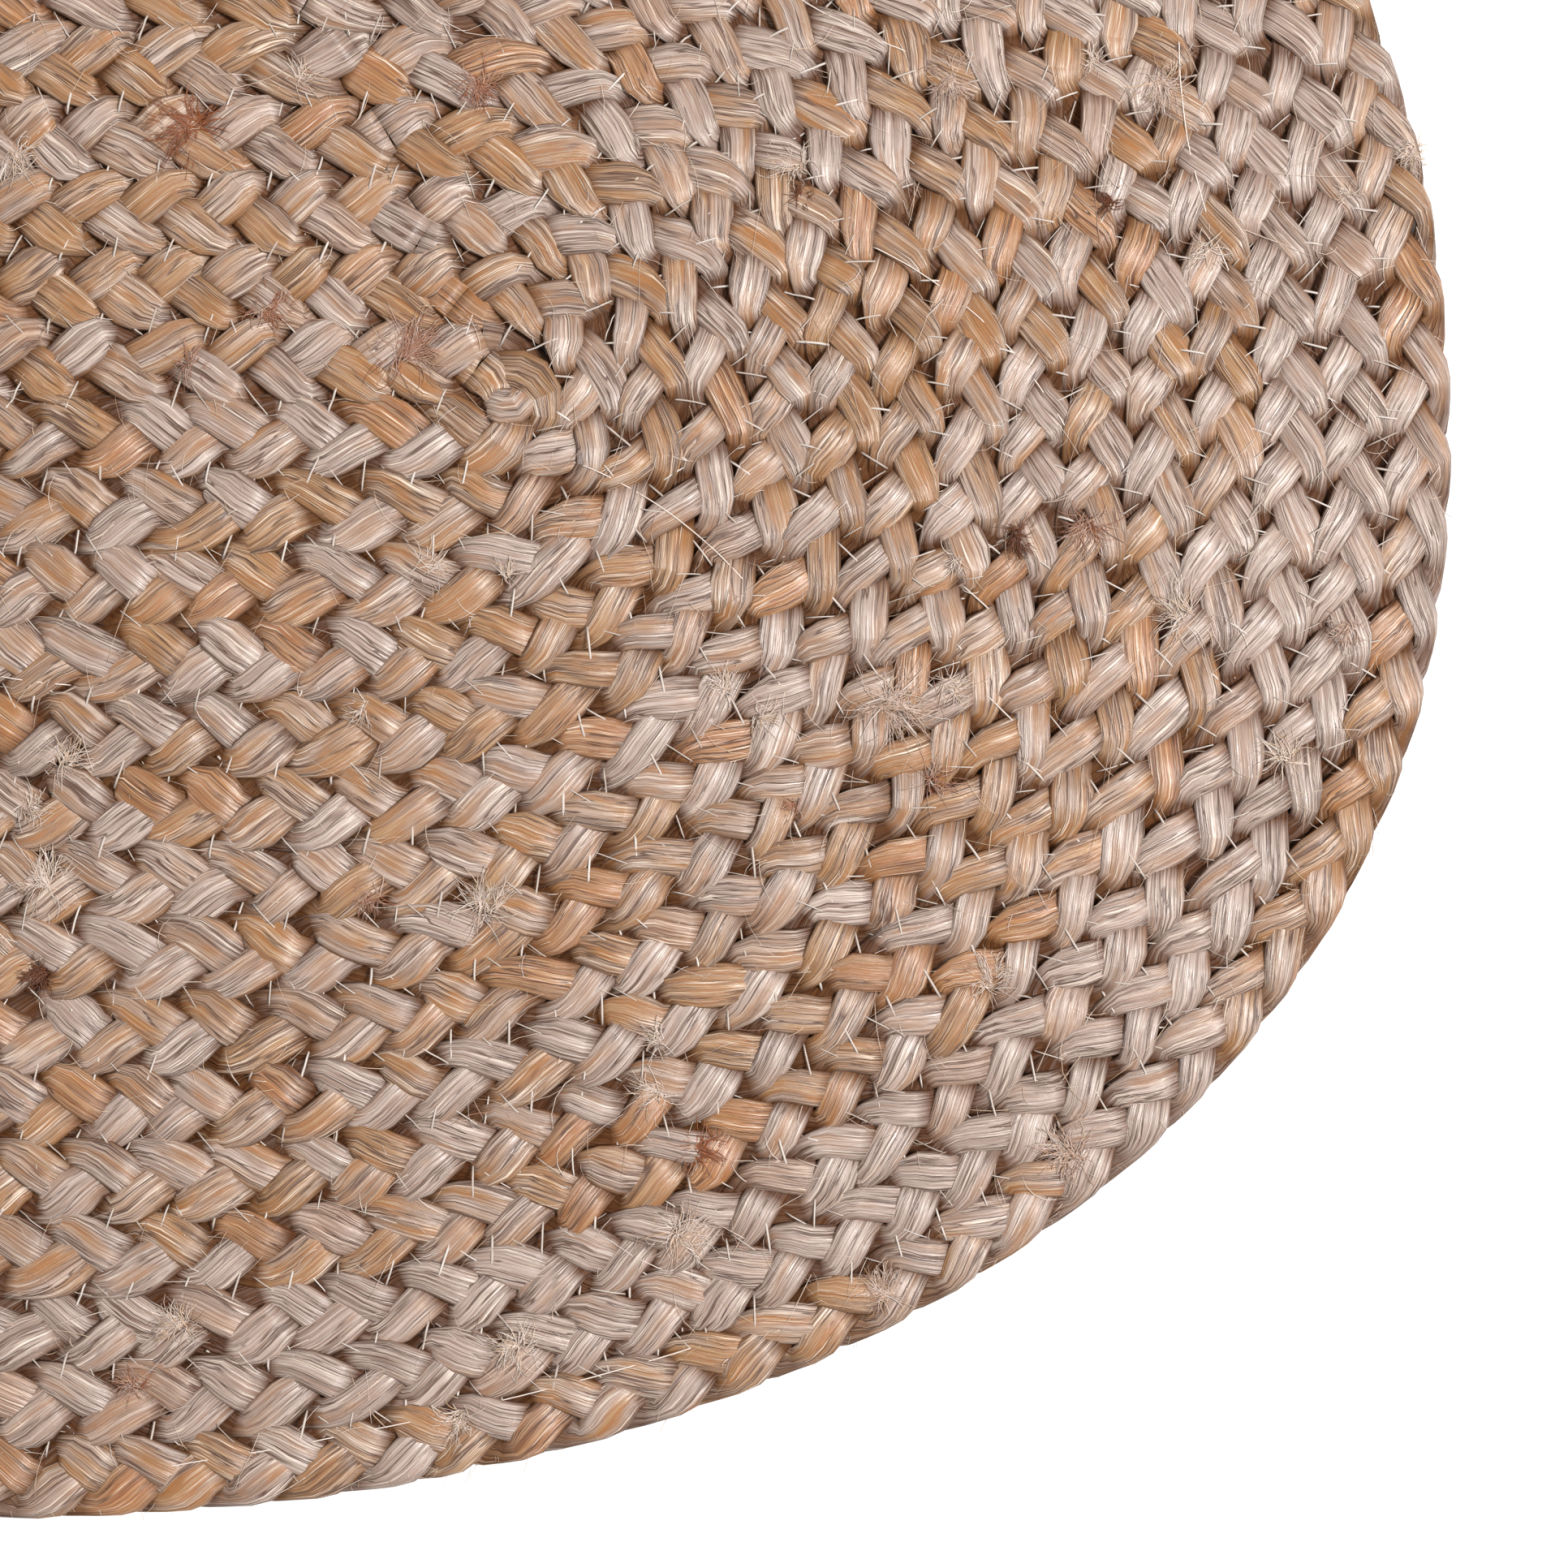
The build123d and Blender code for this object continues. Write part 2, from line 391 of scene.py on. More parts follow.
def strand_colours(s, theta, strand, around):
    """How silvery and how rusty a strand is at each ring, and how much painted shade each point
    gets.

    A point is in the open where it faces the side of the plait that the strand lies on, and gets
    painted shade elsewhere; a strand that turns round at the rug's edge is half in the open."""
    band = grey_band(s)
    tone = 0.46 + 0.24 * STRAND_TONE[strand](s) + 0.4 * (leaf_value(theta, strand, 4) - 0.5)
    tone += (0.9 - tone) * 0.75 * band
    rust = np.clip(0.55 * STRAND_RUST[strand](s) - 0.5, 0, 1)
    rust = np.maximum(rust, (leaf_value(theta, strand, 5) > 0.92) * 0.8) * (1 - 0.8 * band)
    level = strand_level(theta)
    # painted shade where the strand lies under its neighbours or faces away from its own side
    buried = np.clip((0.55 - level[:, None] * np.sin(around)[None, :]) / 0.38, 0, 1)
    rim = (s > NODE_STARTS[TURNS]) & (np.sin(theta) > 0.5)
    buried *= np.where(rim, 0.65, 1)[:, None]
    return np.clip(tone, 0, 1), rust, buried


def make_strands(name, start, end, material):
    """The three strands of one stretch of plait as one piece of three closed tubes."""
    count = max(4, int(np.ceil((end - start) / RING_STEP)) + 1)
    s = np.linspace(start, end, count)
    points, quads, fans, uv, shades = [], [], [], [], []
    first = 0
    for strand in range(3):
        rings, theta, around = strand_rings(s, strand)
        body = rings.reshape(-1, 3)
        ends = rings[[0, -1]].mean(axis=1)
        q, t = tube_faces(count, RING_POINTS, first)
        first += len(body) + 2
        points += [body, ends]
        quads.append(q)
        fans.append(t)
        lengthwise = np.repeat(s, RING_POINTS)
        crosswise = np.tile(np.cos(around) * 5 * MM, count) + strand * 40 * MM
        uv.append(np.column_stack([lengthwise, crosswise]))
        uv.append(np.array([[start, 0.0], [end, 0.0]]))
        tone, rust, buried = strand_colours(s, theta, strand, around)
        flat = [np.repeat(tone, RING_POINTS), np.repeat(rust, RING_POINTS), buried.ravel()]
        # the tube's end caps get the full painted shade
        caps = np.column_stack([tone[[0, -1]], rust[[0, -1]], [1, 1]])
        shades += [np.column_stack(flat), caps]
    shade = np.concatenate(shades)
    layers = {"silver": shade[:, 0], "rust": shade[:, 1], "buried": shade[:, 2]}
    piece = build_mesh(name + "_strands", np.concatenate(points), np.concatenate(quads),
                       np.concatenate(fans), np.concatenate(uv), layers)
    finish_piece(piece, material, "jute_plait", name)
    return piece


# ---------------------------------------------------------------- height of the plait

class Relief:
    """Heights of the top and the underside of the strands on a grid a millimetre wide."""

    CELL = 1.0 * MM
    MARGIN = 12 * MM

    def __init__(self, pieces):
        self.origin = LOW[:2] - self.MARGIN
        span = HIGH[:2] - LOW[:2] + 2 * self.MARGIN
        self.shape = tuple(np.ceil(span / self.CELL).astype(int))
        self.top = np.full(self.shape, LOW[2])
        self.under = np.full(self.shape, HIGH[2])
        for piece in pieces:
            points = np.empty(len(piece.data.vertices) * 3, dtype=np.float32)
            piece.data.vertices.foreach_get("co", points)
            points = points.reshape(-1, 3)
            cell = self.cells(points)
            np.maximum.at(self.top, cell, points[:, 2])
            np.minimum.at(self.under, cell, points[:, 2])
        self.top = self.spread(self.top, np.maximum)
        self.under = self.spread(self.under, np.minimum)

    @staticmethod
    def spread(grid, pick):
        """Each cell takes the highest (or lowest) of itself and its eight neighbours."""
        wide = np.pad(grid, 1, mode="edge")
        rows = pick(pick(wide[:-2], wide[1:-1]), wide[2:])
        return pick(pick(rows[:, :-2], rows[:, 1:-1]), rows[:, 2:])

    def cells(self, points):
        """Grid cells that points fall in."""
        cell = ((points[..., :2] - self.origin) / self.CELL).astype(int)
        return tuple(np.clip(cell[..., i], 0, self.shape[i] - 1) for i in (0, 1))

    def above(self, xy):
        """Height of the top of the plait at points."""
        return self.top[self.cells(xy)]

    def below(self, xy):
        """Height of the underside of the plait at points."""
        return self.under[self.cells(xy)]


def tube_piece(name, lines, radii, sides, **values):
    """Many thin closed tubes as one piece; lines is (tube, point, 3), radii (tube, point).

    Each ring stands square to its line: one arm is level and the other completes it.
    Each named attribute has a value per tube."""
    tubes, steps = lines.shape[:2]
    run = np.gradient(lines, axis=1)
    run /= np.linalg.norm(run, axis=2, keepdims=True) + 1e-12
    level = np.cross(run, np.array([0.0, 0.0, 1.0]))
    size = np.linalg.norm(level, axis=2, keepdims=True)
    level = np.where(size > 1e-6, level / np.maximum(size, 1e-6), np.array([1.0, 0.0, 0.0]))
    other = np.cross(level, run)
    turn = np.arange(sides) * TAU / sides
    arm = level[:, :, None] * np.cos(turn)[:, None] + other[:, :, None] * np.sin(turn)[:, None]
    rings = lines[:, :, None] + arm * radii[:, :, None, None]
    tips = lines[:, [0, -1]]
    per_tube = steps * sides + 2
    points = np.concatenate([rings.reshape(tubes, -1, 3), tips], axis=1)
    quads, fans = tube_faces(steps, sides)
    shift = (np.arange(tubes) * per_tube)[:, None, None]
    lengthwise = np.linspace(0, 1, steps)[None] * np.ones((tubes, 1))
    lengthwise = np.repeat(lengthwise, sides, axis=1)
    lengthwise = np.column_stack([lengthwise, np.zeros((tubes, 1)), np.ones((tubes, 1))])
    crosswise = np.column_stack([np.tile(turn / TAU, (tubes, steps)), np.zeros((tubes, 2))])
    layers = {key: np.repeat(value, per_tube) for key, value in values.items()}
    quads = (quads[::-1] + shift).reshape(-1, 4)[:, ::-1]
    fans = (fans + shift).reshape(-1, 3)[:, ::-1]
    uv = np.column_stack([lengthwise.ravel(), crosswise.ravel()])
    return build_mesh(name, points.reshape(-1, 3), quads, fans, uv, layers)


# ---------------------------------------------------------------- seam thread

STITCH_PITCH = 13.7 * MM  # one zigzag: two strokes
STITCH_LONG = 8.8 * MM  # one stroke
STITCH_POINTS = 5
STITCH_DIVE = 1.1 * MM  # how deep a stroke's ends go in
BOLD_RADIUS, FAINT_RADIUS = 0.27 * MM, 0.17 * MM  # strokes that lie free, and pulled in
BOLD_LEAN, FAINT_LEAN = (-17, 6), (38, 9)  # degrees and spread
BOLD_LOST, FAINT_LOST = 0.05, 0.16  # share of strokes that are hidden in the jute


def seam_places(turn):
    """Points and directions along the seam inside a turn, one for each stroke.

    The seam lies half a row inside the turn's middle line."""
    start, end = NODE_STARTS[turn], NODE_STARTS[turn + 1]
    if turn == 1:
        start += 42 * MM  # past the first bend, which has no seam inside it
    count = int((end - start) / (STITCH_PITCH / 2))
    dice = np.random.default_rng(300 + turn)
    s = start + (np.arange(count) + 0.5) * (end - start) / count
    s = s + dice.normal(0, 0.6 * MM, count)
    inwards = -along_path(PATH_OUT, s)
    half = along_path(PATH_WIDTH, s)[:, None] / 2
    middle = along_path(PATH_XY, s) + inwards * half + dice.normal(0, 0.35 * MM, (count, 2))
    return middle, along_path(PATH_RUN, s), inwards, dice


def make_stitches(turn, name, relief, material):
    """Zigzag strokes of one seam, on the top and on the underside.

    A stroke is a shallow parabola across the seam, leaning one way and then the other,
    that sags a little between the rows and dives into the plait at both ends."""
    middle, run, inwards, dice = seam_places(turn)
    count = len(middle)
    lines, radii, tones = [], [], []
    share = np.linspace(-0.5, 0.5, STITCH_POINTS)
    for face in (1, -1):
        way = np.where(np.arange(count) % 2 == 0, 1.0, -1.0) * face
        bold_lean, faint_lean = dice.normal(*BOLD_LEAN, count), dice.normal(*FAINT_LEAN, count)
        lean = np.radians(np.where(way > 0, bold_lean, faint_lean))
        heading = inwards * np.cos(lean)[:, None] + run * np.sin(lean)[:, None]
        long = STITCH_LONG * dice.normal(1, 0.11, count)
        bow = dice.normal(0, 0.45 * MM, count)
        xy = middle[:, None] + heading[:, None] * (share[None, :, None] * long[:, None, None])
        xy = xy + run[:, None] * ((0.25 - share ** 2)[None, :, None] * bow[:, None, None])
        z = relief.above(xy) if face > 0 else relief.below(xy)
        taut = z[:, [0, -1]].mean(axis=1, keepdims=True)
        z = (z + taut) / 2 + face * 0.15 * MM
        z[:, [0, -1]] -= face * STITCH_DIVE
        z = np.clip(z, LOW[2] + 0.5 * MM, HIGH[2] + 1.5 * MM)
        bold = way * face > 0
        thread = np.where(bold, BOLD_RADIUS, FAINT_RADIUS) * dice.normal(1, 0.14, count)
        kept = dice.random(count) > np.where(bold, BOLD_LOST, FAINT_LOST)
        lines.append(np.dstack([xy, z])[kept])
        radii.append(np.repeat(thread[kept, None], STITCH_POINTS, axis=1))
        tones.append(np.clip(dice.normal(0.5, 0.22, kept.sum()), 0, 1))
    piece = tube_piece(f"{name}_stitches", np.concatenate(lines), np.concatenate(radii), 4,
                       pale=np.concatenate(tones))
    finish_piece(piece, material, "seam_thread", name)


# ---------------------------------------------------------------- knots, fuzz and loose fibres

LOOSE_FIBRES = 5500
EDGE_HAIRS = 500
SMALL_TUFTS = 84
HAIR_POINTS = 5
HAIR_ROOT = 0.8 * MM  # how deep a fibre starts
LONG_POINTS = 40
LONG_RADIUS = 0.16 * MM


def lay_hairs(name, start, heading, long, radius, relief, material, dice, curl=0.8,
              rise=0.5 * MM, **values):
    """Fine fibres that follow the height of the plait, each bent one way along its length.

    The heading turns evenly along a fibre, and its tip lifts by rise."""
    share = np.linspace(0, 1, HAIR_POINTS)
    bend = dice.normal(0, curl, len(start))
    angle = heading[:, None] + bend[:, None] * share[None, :]
    step = long[:, None] / (HAIR_POINTS - 1)
    x = np.cumsum(np.cos(angle) * step, axis=1) - np.cos(angle[:, :1]) * step
    y = np.cumsum(np.sin(angle) * step, axis=1) - np.sin(angle[:, :1]) * step
    xy = start[:, None, :2] + np.dstack([x, y])
    z = relief.above(xy) + 0.1 * MM
    z = (z + z.mean(axis=1, keepdims=True)) / 2 + rise * share[None, :] ** 2
    z[:, 0] -= HAIR_ROOT
    z = np.clip(z, LOW[2] + 0.2 * MM, HIGH[2] + 4 * MM)
    thin = radius[:, None] * (1 - 0.6 * share[None, :] ** 2)
    piece = tube_piece(name, np.dstack([xy, z]), thin, 3, **values)
    finish_piece(piece, material, "jute_plait")


def scatter_fibres(relief, material):
    """Stray fibres combed out of the strands all over the top, mostly along the plait."""
    count = LOOSE_FIBRES
    dice = np.random.default_rng(401)
    s = dice.uniform(0, PATH_S[-1], count)
    sideways = dice.uniform(-0.48, 0.48, count) * along_path(PATH_WIDTH, s)
    start = along_path(PATH_XY, s) + along_path(PATH_OUT, s) * sideways[:, None]
    run = along_path(PATH_RUN, s)
    lean = np.sign(sideways) * 0.45 + dice.normal(0, 0.45, count)
    heading = np.arctan2(run[:, 1], run[:, 0]) + lean
    long = dice.gamma(3.2, 3.4 * MM, count)
    radius = dice.uniform(0.05, 0.13, count) * MM
    lay_hairs("loose_fibres", start, heading, long, radius, relief, material, dice,
              silver=dice.uniform(0.2, 1, count), rust=(dice.random(count) > 0.93) * 0.6,
              buried=np.zeros(count))


def edge_fuzz(relief, material):
    """Short hairs that stand out from the rug's outline."""
    count = EDGE_HAIRS
    dice = np.random.default_rng(402)
    s = dice.uniform(NODE_STARTS[-3], PATH_S[-1], count)
    out = along_path(PATH_OUT, s)
    start = along_path(PATH_XY, s) + out * along_path(PATH_WIDTH, s)[:, None] * 0.4
    heading = np.arctan2(out[:, 1], out[:, 0]) + dice.normal(0, 0.7, count)
    long = dice.gamma(4, 1.0 * MM, count)
    lay_hairs("edge_fuzz", start, heading, long, dice.uniform(0.04, 0.09, count) * MM, relief,
              material, dice, silver=dice.uniform(0, 0.8, count), rust=np.zeros(count),
              buried=np.zeros(count))


# Long fibres pulled out of the plait: both ends and the sideways bow, in millimetres
LONG_FIBRES = (
    (116, -287, 260, -254, -3), (300, 30, 352, -20, 6), (20, -60, 92, -84, -5),
    (200, -20, 268, -58, 7), (-120, 90, -40, 110, 6), (-300, -120, -220, -140, -8),
    (60, 190, 150, 170, 5), (-210, 20, -150, -30, 4), (380, 90, 400, 10, -6),
    (-60, -230, 40, -238, 4), (-390, 40, -372, -50, 5), (250, 120, 310, 80, -4),
)


def long_fibres(relief, material):
    """A few long single fibres that lie across the rows, each a shallow parabola."""
    ends = np.array(LONG_FIBRES) * MM
    share = np.linspace(0, 1, LONG_POINTS)[None, :, None]
    first, last, bow = ends[:, None, 0:2], ends[:, None, 2:4], ends[:, None, 4:5]
    run = last - first
    aside = np.stack([-run[..., 1], run[..., 0]], axis=-1)
    aside /= np.linalg.norm(aside, axis=-1, keepdims=True)
    xy = first + run * share + aside * bow * 4 * share * (1 - share)
    z = relief.above(xy)
    soften = np.ones(5) / 5
    z = np.stack([np.convolve(np.pad(row, 2, mode="edge"), soften, "valid") for row in z])
    lines = np.dstack([xy, z + 0.3 * MM])
    lines[:, [0, -1], 2] -= 1.5 * MM
    count = len(lines)
    piece = tube_piece("long_fibres", lines, np.full((count, LONG_POINTS), LONG_RADIUS), 4,
                       silver=np.full(count, 0.95), rust=np.zeros(count), buried=np.zeros(count))
    finish_piece(piece, material, "jute_plait")


# Frayed strand ends: x, y and radius of each tuft in millimetres, and how rusty it is;
# a tuft above 1.5 is also darkened to nearly black
FRAYED_ENDS = (
    (124, 62, 7.5, 1.0), (198, 72, 4.5, 0.8), (178, 2, 7.5, 0.7), (143, 14, 4.5, 0.8),
    (255, -205, 5, 1.0), (304, -89, 8, 0.25), (375, 73, 6, 0.25), (352, -206, 6, 0.25),
    (304, -242, 5, 0.3), (321, 74, 5, 0.3), (250, -227, 6, 0.0), (200, -142, 6, 0.0),
    (208, -256, 5, 0.0), (121, -250, 5, 0.05), (86, -136, 6, 0.0), (331, -161, 5, 0.1),
    (441, 55, 4, 0.0), (424, -69, 4, 0.4), (-140, 110, 7, 0.9), (-260, -90, 6, 0.7),
    (-60, -190, 6, 0.3), (-330, 60, 6, 0.2), (20, 215, 6, 0.9), (-180, -40, 5, 0.1),
    (60, 150, 6, 0.0), (-90, 245, 5, 0.2), (230, 180, 6, 0.6), (-380, -60, 5, 0.0),
    (338, -45, 4, 2.0), (281, 43, 3, 2.0), (362, 41, 3, 1.6), (85, -159, 4, 2.0),
    (-250, 20, 4, 2.0), (-40, -90, 3, 2.0), (150, 230, 3, 2.0),
)


def small_tufts():
    """Places, sizes and tone of the small pale tufts that are scattered over the rug."""
    dice = np.random.default_rng(405)
    count = SMALL_TUFTS
    s = dice.uniform(0, NODE_STARTS[-2], count)
    aside = dice.uniform(-0.4, 0.4, count) * along_path(PATH_WIDTH, s)
    xy = along_path(PATH_XY, s) + along_path(PATH_OUT, s) * aside[:, None]
    rusty = np.where(dice.random(count) > 0.8, 0.7, 0.0)
    return np.column_stack([xy / MM, dice.uniform(2.5, 6.5, count), rusty])


def frayed_ends(name, tufts, hairs_per_mm, seed, relief, material):
    """Tufts where a new strand was spliced in: a fan of fibres from one place, and some
    that curl across it."""
    dice = np.random.default_rng(seed)
    starts, headings, longs, rusts, silvers, darks = [], [], [], [], [], []
    for x, y, size, rusty in tufts:
        count = int(size * hairs_per_mm)
        away = dice.uniform(0, TAU, count)
        far = size * 0.45 * dice.random(count) ** 0.7 * MM
        ring = np.column_stack([np.cos(away), np.sin(away)])
        starts.append(np.array([x, y]) * MM + ring * far[:, None])
        fan = dice.uniform(0, TAU) + dice.normal(0, 0.55, count)
        stray = dice.random(count) < 0.3
        headings.append(np.where(stray, away + dice.normal(1.3, 0.9, count), fan))
        longs.append(dice.uniform(0.5, 1.8, count) * size * MM)
        rusts.append(np.clip(rusty + dice.normal(0, 0.15, count), 0, 1))
        silvers.append(np.clip(dice.normal(0.7, 0.3, count), 0, 1))
        darks.append(dice.uniform(0, 0.25, count) + 0.75 * (rusty > 1.5))
    start = np.concatenate(starts)
    count = len(start)
    lay_hairs(name, start, np.concatenate(headings), np.concatenate(longs),
              dice.uniform(0.06, 0.19, count) * MM, relief, material, dice, curl=0.9,
              rise=0.8 * MM, silver=np.concatenate(silvers), rust=np.concatenate(rusts),
              buried=np.concatenate(darks))


# ---------------------------------------------------------------- materials

class Graph:
    """Short ways to add nodes to a material and join them."""

    def __init__(self, name):
        self.material = bpy.data.materials.new(name)
        self.material.use_nodes = True
        self.tree = self.material.node_tree
        self.shader = self.tree.nodes["Principled BSDF"]

    def put(self, value, socket):
        """Joins a node's output to a socket, or sets the socket's own value."""
        if isinstance(value, bpy.types.NodeSocket):
            self.tree.links.new(value, socket)
        else:
            socket.default_value = value

    def add(self, kind, out=0, settings=None, **inputs):
        """A node of a kind with its settings and inputs; returns one of its outputs."""
        node = self.tree.nodes.new("ShaderNode" + kind)
        for key, value in (settings or {}).items():
            setattr(node, key, value)
        for key, value in inputs.items():
            place = int(key[2:]) if key.startswith("in") and key[2:].isdigit() else key
            self.put(value, node.inputs[place])
        return node.outputs[out]

    def math(self, how, a, b=0.0, c=0.0):
        """Arithmetic on up to three values."""
        return self.add("Math", 0, {"operation": how}, in0=a, in1=b, in2=c)

    def attribute(self, name):
        """A number that the mesh holds at each point."""
        return self.add("Attribute", 2, {"attribute_name": name})

    def mix(self, share, a, b):
        """Colour a where share is 0 and b where it is 1."""
        return self.add("Mix", 2, {"data_type": "RGBA"}, in0=share, in6=a, in7=b)

    def streaks(self, along, across, seed, detail, warp=0.0):
        """Noise drawn out along the fibres: cycles per metre along and across."""
        uv = self.add("UVMap", 0, {"uv_map": "fibre"})
        parts = self.add("SeparateXYZ", 0, None, Vector=uv).node
        u = self.math("MULTIPLY", parts.outputs[0], along)
        v = self.math("MULTIPLY", parts.outputs[1], across)
        place = self.add("CombineXYZ", 0, None, X=u, Y=v, Z=seed)
        return self.add("TexNoise", 0, {"noise_dimensions": "3D"}, Vector=place, Scale=1.0,
                        Detail=detail, Roughness=0.6, Distortion=warp)

    def ramp(self, value, low, high):
        """Value from low to high as 0 to 1."""
        limits = {"From Min": low, "From Max": high}
        return self.add("MapRange", 0, {"clamp": True}, Value=value, **limits)


# Colours of jute, thread and floor
GOLD = (0.375, 0.208, 0.096, 1)
GOLD_DARK = (0.165, 0.068, 0.024, 1)
SILVER = (0.46, 0.35, 0.302, 1)
SILVER_DARK = (0.22, 0.14, 0.10, 1)
# pale straw colour of the painted glints
GLINT_STRAW = (0.92, 0.79, 0.65, 1)
RUST = (0.24, 0.07, 0.016, 1)
RUST_LIGHT = (0.42, 0.185, 0.06, 1)
AMBER = (0.33, 0.125, 0.028, 1)
# dark brown: painted shade in the strands' tucks and slits, and the colour that dark fibres go
# to
SHADE_BROWN = (0.075, 0.026, 0.010, 1)
FIBRE_TAN, FIBRE_PALE = (0.55, 0.36, 0.20, 1), (0.80, 0.69, 0.62, 1)
FIBRE_RUST = (0.30, 0.085, 0.022, 1)
THREAD_GREY, THREAD_PALE = (0.46, 0.37, 0.31, 1), (0.80, 0.72, 0.66, 1)
THREAD_SHADE = (0.35, 0.27, 0.22, 1)
FLOOR_WHITE = (0.9, 0.9, 0.9, 1)


def jute_material():
    """Combed jute: golden and silvery fibre streaks, rusty stains, painted shade where it tucks
    in and painted glints.

    Fine streaks carry light and dark, broad ones the bundles, hair the painted glints and
    patch the tones within a leaf."""
    g = Graph("combed_jute")
    silver, rust, buried = (g.attribute(n) for n in ("silver", "rust", "buried"))
    fine = g.streaks(42.0, 2500.0, silver, 4.0, 0.3)
    broad = g.streaks(28.0, 620.0, silver, 2.0, 0.4)
    hair = g.streaks(95.0, 4200.0, 3.3, 1.0, 0.2)
    patch = g.streaks(62.0, 260.0, 7.7, 2.0, 0.3)

    # silvery and golden jute, with amber patches in the gold
    light = g.ramp(fine, 0.37, 0.63)
    gold = g.mix(light, GOLD_DARK, GOLD)
    grey = g.mix(light, SILVER_DARK, SILVER)
    silvery = g.math("MULTIPLY_ADD", patch, 1.3, g.math("MULTIPLY_ADD", broad, 0.5, silver))
    silvery = g.ramp(silvery, 1.12, 1.6)
    silvery = g.math("MULTIPLY", silvery, g.math("SUBTRACT", 1.0, rust))
    amber = g.math("MULTIPLY", g.ramp(patch, 0.56, 0.4), g.ramp(fine, 0.56, 0.44))
    gold = g.mix(g.math("MULTIPLY", amber, 0.85), gold, AMBER)
    colour = g.mix(silvery, gold, grey)

    # rusty leaves, painted straw-coloured glints, and painted shade where a strand tucks in or
    # splits
    rusty = g.math("MULTIPLY", rust, g.ramp(broad, 0.3, 0.6))
    colour = g.mix(rusty, colour, g.mix(light, RUST, RUST_LIGHT))
    # painted highlight: straw-coloured glints where the hair and the broad streaks are bright
    glint = g.math("MULTIPLY", g.ramp(hair, 0.55, 0.72), g.ramp(broad, 0.4, 0.62))
    colour = g.mix(g.math("MULTIPLY", glint, 0.75), colour, GLINT_STRAW)
    # painted shade where a strand tucks under its neighbours, a little streaky
    deep = g.math("MULTIPLY_ADD", g.ramp(fine, 0.7, 0.35), 0.25, 0.74)
    colour = g.mix(g.math("MULTIPLY", deep, buried), colour, SHADE_BROWN)
    # painted shade in the slits between fibre bundles, as thin dark brown lines that the bump
    # also sinks
    split = g.ramp(g.math("ABSOLUTE", g.math("SUBTRACT", broad, 0.5)), 0.028, 0.006)
    split = g.math("MULTIPLY", split, g.ramp(patch, 0.38, 0.54))
    colour = g.mix(g.math("MULTIPLY", split, 0.9), colour, SHADE_BROWN)
    thin = g.ramp(g.math("ABSOLUTE", g.math("SUBTRACT", fine, 0.47)), 0.02, 0.003)
    colour = g.mix(g.math("MULTIPLY", thin, 0.45), colour, GOLD_DARK)
    g.put(colour, g.shader.inputs["Base Color"])

    # a silky sheen drawn out across the fibres, and their relief
    rough = g.math("MULTIPLY_ADD", light, -0.12, 0.46)
    g.put(rough, g.shader.inputs["Roughness"])
    height = g.math("ADD", g.math("MULTIPLY", fine, 0.55), g.math("MULTIPLY", broad, 0.9))
    height = g.math("MULTIPLY_ADD", hair, 0.2, g.math("MULTIPLY_ADD", split, -0.3, height))
    bump = g.add("Bump", 0, None, Strength=1.0, Distance=0.8 * MM, Height=height)
    g.put(bump, g.shader.inputs["Normal"])
    along = g.add("Tangent", 0, {"direction_type": "UV_MAP", "uv_map": "fibre"})
    g.put(along, g.shader.inputs["Tangent"])
    g.shader.inputs["Anisotropic"].default_value = 0.65
    g.shader.inputs["Anisotropic Rotation"].default_value = 0.25
    shine = g.math("MULTIPLY_ADD", buried, -0.85, 0.9)
    g.put(shine, g.shader.inputs["Specular IOR Level"])
    return g.material


def fibre_material():
    """Single fibres: straw to silver, some rusty, some darkened a little unevenly along their
    length.
    """
    g = Graph("single_fibres")
    silver, rust = g.attribute("silver"), g.attribute("rust")
    colour = g.mix(silver, FIBRE_TAN, FIBRE_PALE)
    colour = g.mix(rust, colour, FIBRE_RUST)
    along = g.streaks(1.0, 0.0, silver, 1.0)
    # some fibres are darkened towards the same dark brown as the painted shade, each by its own
    # value
    dark = g.math("MULTIPLY", g.attribute("buried"), g.math("MULTIPLY_ADD", along, 0.5, 0.6))
    colour = g.mix(dark, colour, SHADE_BROWN)
    g.put(colour, g.shader.inputs["Base Color"])
    g.put(g.math("MULTIPLY_ADD", along, 0.2, 0.4), g.shader.inputs["Roughness"])
    return g.material


def thread_material():
    """Pale grey sewing thread, with its twist as slanting bands along each stroke."""
    g = Graph("sewing_thread")
    pale = g.attribute("pale")
    uv = g.add("UVMap", 0, {"uv_map": "fibre"})
    twist = g.add("TexWave", 0, {"bands_direction": "DIAGONAL"}, Vector=uv, Scale=9.0,
                  Distortion=0.6)
    colour = g.mix(pale, THREAD_GREY, THREAD_PALE)
    colour = g.mix(g.math("MULTIPLY", twist, 0.35), colour, THREAD_SHADE)
    g.put(colour, g.shader.inputs["Base Color"])
    g.put(g.math("MULTIPLY_ADD", twist, 0.15, 0.5), g.shader.inputs["Roughness"])
    bump = g.add("Bump", 0, None, Strength=0.4, Distance=0.1 * MM, Height=twist)
    g.put(bump, g.shader.inputs["Normal"])
    return g.material


# ---------------------------------------------------------------- floor, light and camera

FLOOR_SIZE = 8
ROOM_LIGHT = 0.42
VIEW_MIDDLE = (0.2774, -0.1097)
VIEW_WIDTH = 0.4084
LENS, SENSOR = 85.0, 36.0


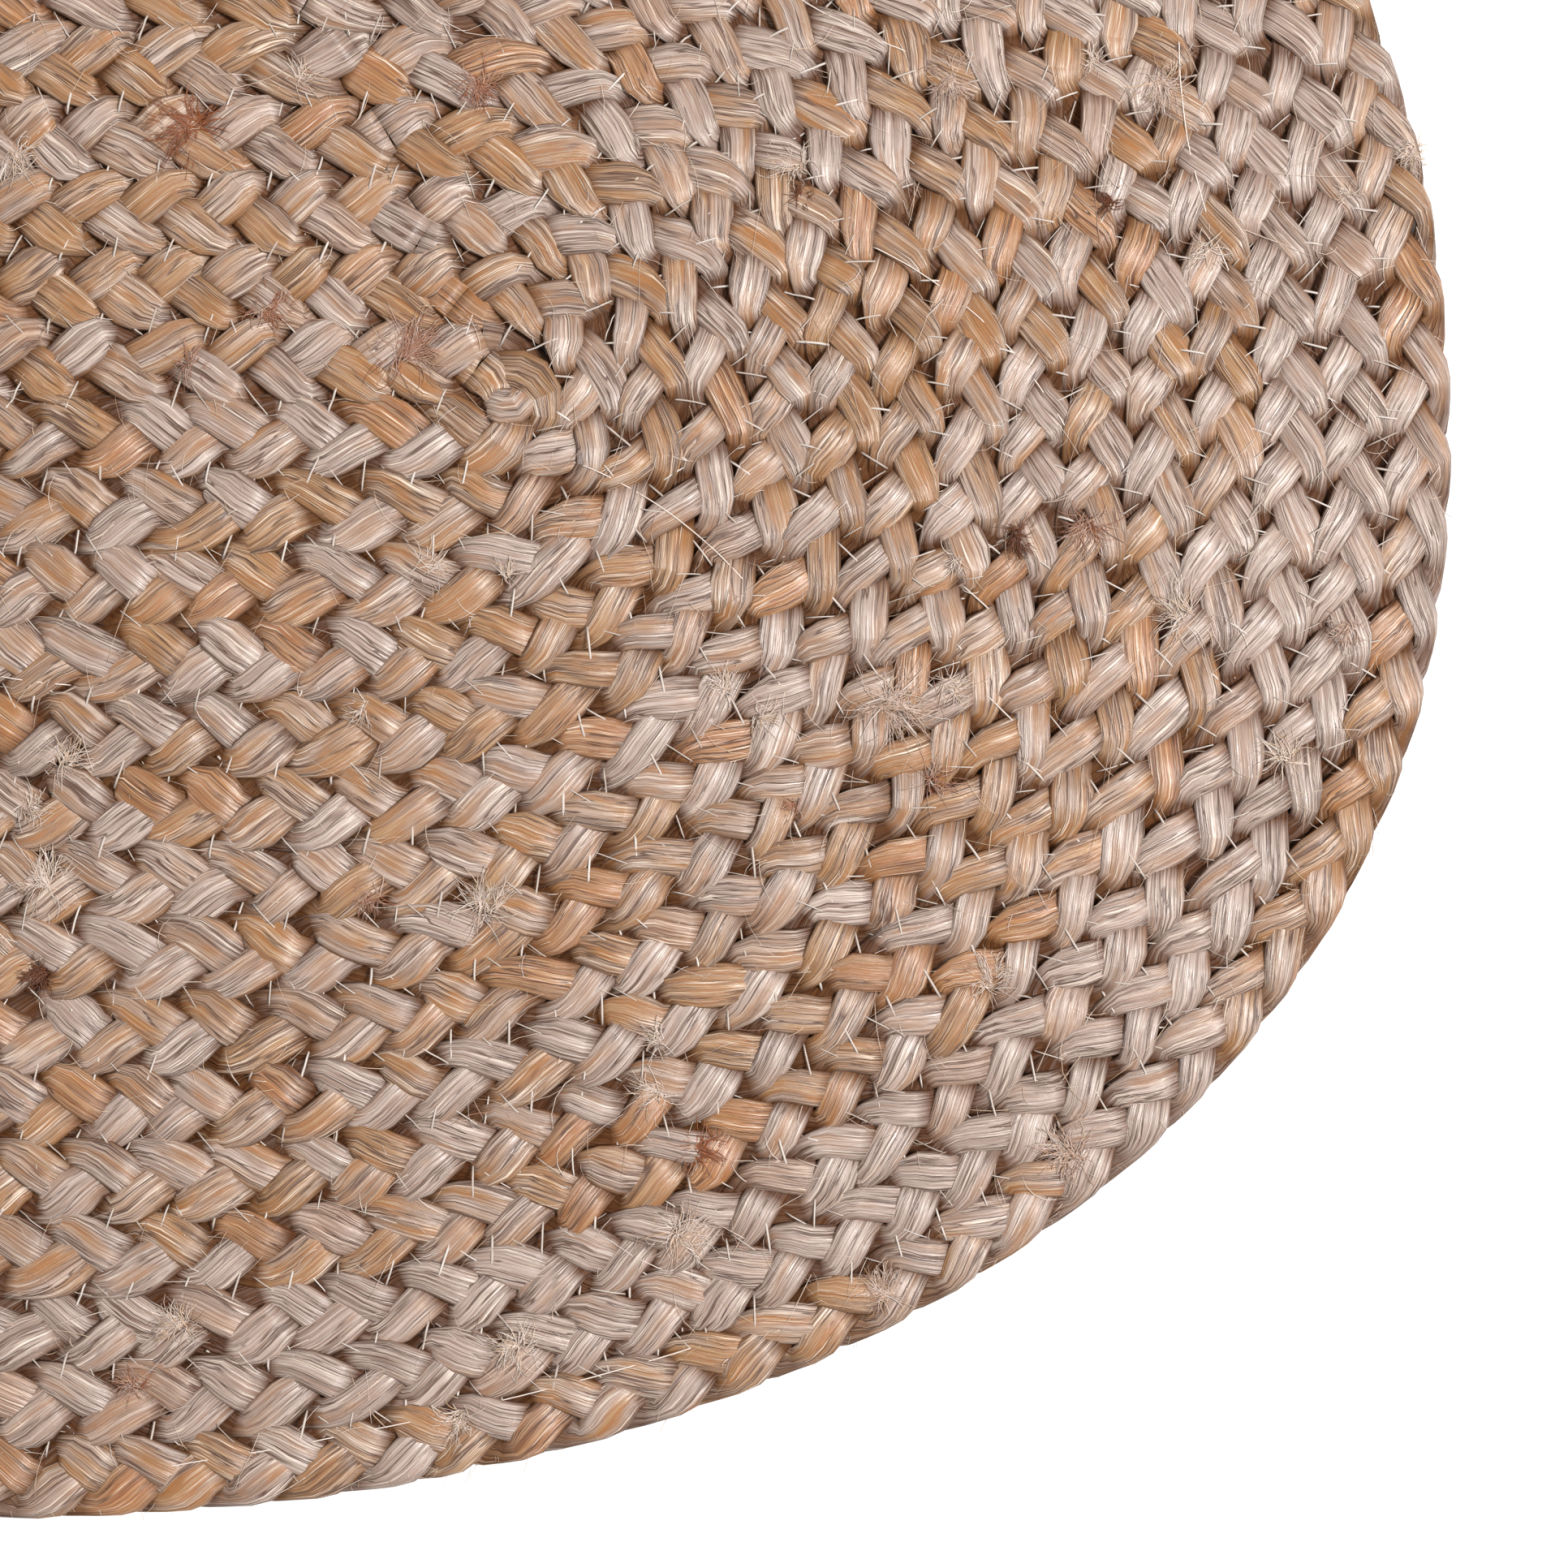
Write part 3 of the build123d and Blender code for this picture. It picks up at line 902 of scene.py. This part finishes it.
def make_stage():
    """A plain white floor and soft light from all round."""
    bpy.ops.mesh.primitive_plane_add(size=FLOOR_SIZE, location=(0, 0, LOW[2] - 0.2 * MM))
    floor = bpy.context.object
    floor.name = "floor"
    g = Graph("pale_floor")
    g.shader.inputs["Base Color"].default_value = FLOOR_WHITE
    g.shader.inputs["Roughness"].default_value = 0.9
    g.shader.inputs["Specular IOR Level"].default_value = 0.1
    floor.data.materials.append(g.material)

    world = bpy.data.worlds.new("soft_room")
    bpy.context.scene.world = world
    world.use_nodes = True
    background = world.node_tree.nodes["Background"]
    background.inputs["Color"].default_value = (1, 1, 1, 1)
    background.inputs["Strength"].default_value = ROOM_LIGHT


def add_light(name, place, aim, size, power):
    """A square soft box at a place, turned to a point."""
    data = bpy.data.lights.new(name, "AREA")
    data.size = size
    data.energy = power
    lamp = bpy.data.objects.new(name, data)
    lamp.location = place
    heading = Vector(aim) - Vector(place)
    lamp.rotation_euler = heading.to_track_quat("-Z", "Y").to_euler()
    bpy.context.collection.objects.link(lamp)


def make_camera():
    """Straight down over the +X end of the rug."""
    data = bpy.data.cameras.new("camera")
    data.lens = LENS
    data.sensor_width = SENSOR
    data.clip_end = 20
    camera = bpy.data.objects.new("camera", data)
    camera.location = (*VIEW_MIDDLE, THICK / 2 + VIEW_WIDTH * LENS / SENSOR)
    bpy.context.collection.objects.link(camera)
    bpy.context.scene.camera = camera


# ---------------------------------------------------------------- making the rug

make_camera()
make_stage()
add_light("key", (1.45, -0.1, 1.8), (0.2, -0.05, 0), 0.5, 62)
add_light("fill", (-0.9, 1.0, 1.9), (0.2, -0.1, 0), 1.4, 20)
bpy.context.scene.view_settings.view_transform = "Standard"

jute = jute_material()
single = fibre_material()
thread = thread_material()
turn_nodes = [f"plait_turn_{turn:02d}" for turn in range(1, TURNS + 1)]
plait_nodes = ["plait_middle_row", *turn_nodes, "plait_tail"]
strands = [make_strands(name, NODE_STARTS[i], NODE_STARTS[i + 1], jute)
           for i, name in enumerate(plait_nodes)]
relief = Relief(strands)
for turn in range(1, TURNS + 1):
    make_stitches(turn, f"seam_thread_{turn:02d}", relief, thread)
make_stitches(TURNS + 1, "seam_thread_tail", relief, thread)
scatter_fibres(relief, single)
edge_fuzz(relief, single)
long_fibres(relief, single)
frayed_ends("frayed_ends", FRAYED_ENDS, 34, 403, relief, single)
frayed_ends("small_tufts", small_tufts(), 16, 404, relief, single)
